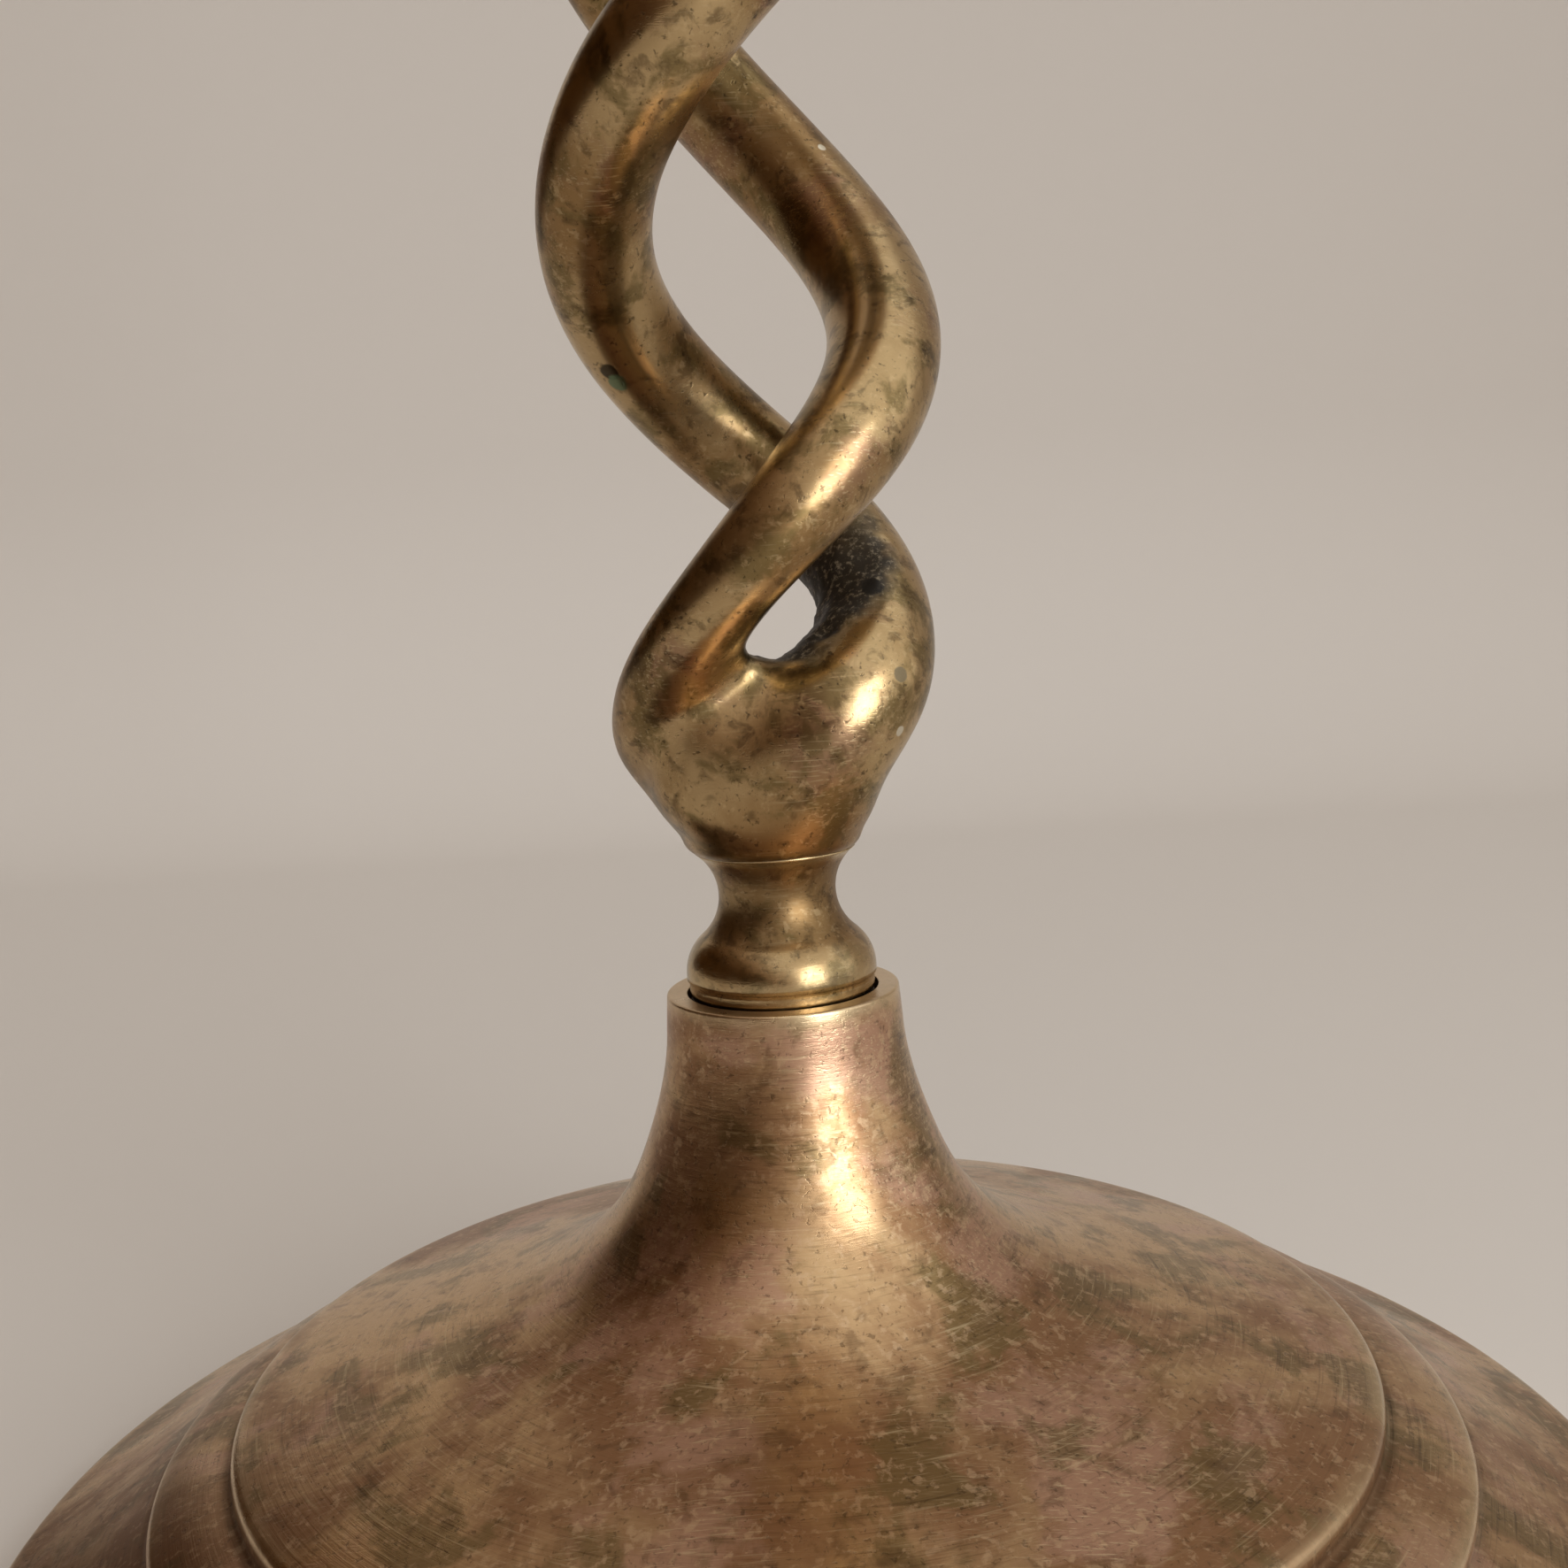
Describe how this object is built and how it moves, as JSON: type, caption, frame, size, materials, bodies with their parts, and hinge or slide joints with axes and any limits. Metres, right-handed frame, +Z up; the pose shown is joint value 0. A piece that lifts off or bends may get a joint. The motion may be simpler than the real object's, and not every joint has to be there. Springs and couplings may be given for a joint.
{
  "type": "candle holder",
  "caption": "Brass candlestick with an open right-hand twist stem on a stepped bell base, and a drip pan and candle cup that unscrew.",
  "frame": {"origin": "on the table, under the middle of the base", "axes": "+Z up along the stem; -Y is the side that faces the camera in the picture"},
  "size_m": [0.127, 0.127, 0.254],
  "materials": {
    "base_brass": "turned, worn and tarnished brown",
    "stem_brass": "cast and filed smooth, worn and tarnished olive",
    "pan_brass": "turned, worn and tarnished brown",
    "cup_brass": "turned, worn and tarnished brown",
    "stud_brass": "as cut, bright",
    "washer_leather": "dark and oily"
  },
  "bodies": {
    "base": {"base_casting": "base_brass"},
    "washer": {"seat_washer": "washer_leather"},
    "stem": {"stem_casting": "stem_brass", "stem_stud": "stud_brass"},
    "pan": {"drip_pan": "pan_brass"},
    "cup": {"candle_cup": "cup_brass", "cup_stud": "stud_brass"}
  },
  "joints": [
    {"name": "stem_rise", "type": "slide", "parent": "base", "child": "washer", "axis": [0, 0, 1], "range_m": [0, 0.009]},
    {"name": "stem_unscrew", "type": "hinge", "parent": "washer", "child": "stem", "pos_m": [0, 0, 0.045], "axis": [0, 0, 1], "range_deg": [0, 2160]},
    {"name": "pan_rise", "type": "slide", "parent": "stem", "child": "pan", "axis": [0, 0, 1], "range_m": [0, 0.008]},
    {"name": "cup_unscrew", "type": "hinge", "parent": "pan", "child": "cup", "pos_m": [0, 0, 0.2127], "axis": [0, 0, 1], "range_deg": [0, 1920]}
  ],
  "couplings": [
    {"joint": "stem_rise", "follows": "stem_unscrew", "m_per_rad": 0.00023873},
    {"joint": "pan_rise", "follows": "cup_unscrew", "m_per_rad": 0.00023873}
  ]
}
